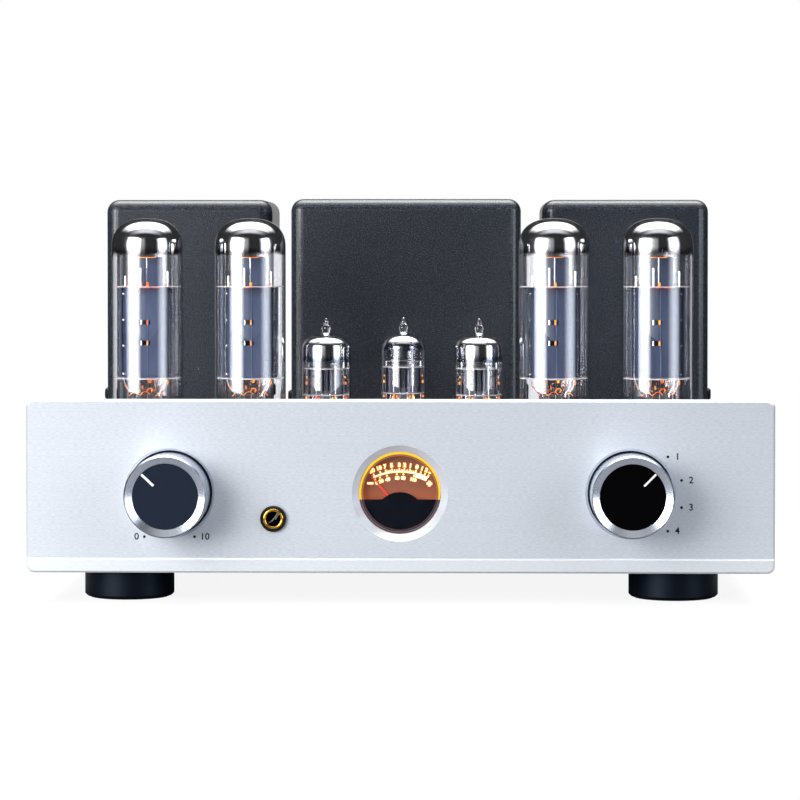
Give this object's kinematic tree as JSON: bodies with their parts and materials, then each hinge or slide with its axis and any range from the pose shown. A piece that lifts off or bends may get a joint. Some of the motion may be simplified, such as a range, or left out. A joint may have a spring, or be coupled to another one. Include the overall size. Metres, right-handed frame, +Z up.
{
  "type": "tube integrated amplifier",
  "caption": "Vacuum tube integrated amplifier with a brushed metal panel, turning knobs, a round level meter, a headphone socket, glass tubes and dark transformer covers",
  "frame": {"origin": "middle of the bounding box, on the table under the feet", "axes": "+X to the right seen from the front, +Y to the back, +Z up; the panel faces -Y"},
  "size_m": [0.33, 0.292, 0.18],
  "materials": {
    "panel_aluminium": "brushed along its length, anodised silver",
    "chassis_paint": "fine black powder coat",
    "foot_plastic": "satin black",
    "pad_rubber": "matt",
    "fastener_steel": "blackened",
    "cover_paint": "dark metallic speckle paint",
    "core_steel": "stacked silicon steel plates",
    "copper_winding": "varnished copper wire",
    "socket_ceramic": "glazed",
    "tube_base": "moulded",
    "tube_glass": "clear blown glass with a mirror flash in the dome",
    "electrode_metal": "greyed nickel-plated steel with mica plates",
    "knob_aluminium": "turned and anodised silver",
    "insert_black": "black disc with a white line",
    "shaft_steel": "ground",
    "control_body": "moulded case",
    "black_plastic": "moulded",
    "gold_plate": "gold plated",
    "lens_clear": "clear polished plastic",
    "meter_amber": "back-lit amber dial",
    "needle_red": "red lacquer",
    "movement_metal": "plain",
    "board_laminate": "green solder mask",
    "capacitor_can": "dark sleeve",
    "cap_black": "moulded",
    "cap_red": "moulded"
  },
  "bodies": {
    "chassis": {"front_panel": "panel_aluminium", "chassis_shell": "chassis_paint", "chassis_ends": "chassis_paint", "bottom_plate": "chassis_paint", "feet": "foot_plastic", "foot_pads": "pad_rubber", "chassis_fasteners": "fastener_steel", "left_output_cover": "cover_paint", "power_supply_cover": "cover_paint", "right_output_cover": "cover_paint", "cover_screws": "fastener_steel", "transformer_cores": "core_steel", "transformer_coils": "copper_winding", "tube_sockets": "socket_ceramic", "power_tube_bases": "tube_base", "power_tube_1_glass": "tube_glass", "power_tube_2_glass": "tube_glass", "power_tube_3_glass": "tube_glass", "power_tube_4_glass": "tube_glass", "power_tube_1_mount": "electrode_metal", "power_tube_2_mount": "electrode_metal", "power_tube_3_mount": "electrode_metal", "power_tube_4_mount": "electrode_metal", "driver_tube_left_glass": "tube_glass", "input_tube_glass": "tube_glass", "driver_tube_right_glass": "tube_glass", "driver_tube_left_mount": "electrode_metal", "input_tube_mount": "electrode_metal", "driver_tube_right_mount": "electrode_metal", "volume_pot": "control_body", "selector_switch": "control_body", "headphone_ring": "black_plastic", "headphone_sleeve": "gold_plate", "headphone_body": "black_plastic", "meter_lens": "lens_clear", "meter_can": "black_plastic", "meter_face": "meter_amber", "meter_mask": "black_plastic", "meter_movement": "movement_metal", "main_board": "board_laminate", "filter_capacitors": "capacitor_can", "post_insulators": "black_plastic", "post_studs": "gold_plate", "input_jacks": "gold_plate", "mains_inlet": "black_plastic", "power_switch": "black_plastic"},
    "volume_control": {"volume_knob": "knob_aluminium", "volume_insert": "insert_black", "volume_shaft": "shaft_steel"},
    "selector_control": {"selector_knob": "knob_aluminium", "selector_insert": "insert_black", "selector_shaft": "shaft_steel"},
    "meter_pointer": {"meter_needle": "needle_red"},
    "rocker": {"power_rocker": "cap_black"},
    "cap_1": {"post_cap_1": "cap_black"},
    "cap_2": {"post_cap_2": "cap_red"},
    "cap_3": {"post_cap_3": "cap_red"},
    "cap_4": {"post_cap_4": "cap_black"},
    "cap_5": {"post_cap_5": "cap_red"},
    "cap_6": {"post_cap_6": "cap_red"}
  },
  "joints": [
    {"name": "volume_turn", "type": "hinge", "parent": "chassis", "child": "volume_control", "pos_m": [-0.1016, -0.124, 0.0482], "axis": [0, 1, 0], "range_deg": [-103, 197]},
    {"name": "selector_turn", "type": "hinge", "parent": "chassis", "child": "selector_control", "pos_m": [0.1016, -0.124, 0.0482], "axis": [0, 1, 0], "range_deg": [0, 90]},
    {"name": "needle_swing", "type": "hinge", "parent": "chassis", "child": "meter_pointer", "pos_m": [0, -0.117, 0.0401], "axis": [0, 1, 0], "range_deg": [0, 80], "stiffness_Nm_per_rad": 0.00001},
    {"name": "power_rock", "type": "hinge", "parent": "chassis", "child": "rocker", "pos_m": [-0.072, 0.1255, 0.044], "axis": [1, 0, 0], "range_deg": [-20, 0]},
    {"name": "post_cap_1_turn", "type": "hinge", "parent": "chassis", "child": "cap_1", "pos_m": [-0.051, 0.138, 0.044], "axis": [0, 1, 0], "range_deg": [0, 720]},
    {"name": "post_cap_2_turn", "type": "hinge", "parent": "chassis", "child": "cap_2", "pos_m": [-0.032, 0.138, 0.044], "axis": [0, 1, 0], "range_deg": [0, 720]},
    {"name": "post_cap_3_turn", "type": "hinge", "parent": "chassis", "child": "cap_3", "pos_m": [-0.013, 0.138, 0.044], "axis": [0, 1, 0], "range_deg": [0, 720]},
    {"name": "post_cap_4_turn", "type": "hinge", "parent": "chassis", "child": "cap_4", "pos_m": [0.013, 0.138, 0.044], "axis": [0, 1, 0], "range_deg": [0, 720]},
    {"name": "post_cap_5_turn", "type": "hinge", "parent": "chassis", "child": "cap_5", "pos_m": [0.032, 0.138, 0.044], "axis": [0, 1, 0], "range_deg": [0, 720]},
    {"name": "post_cap_6_turn", "type": "hinge", "parent": "chassis", "child": "cap_6", "pos_m": [0.051, 0.138, 0.044], "axis": [0, 1, 0], "range_deg": [0, 720]}
  ]
}
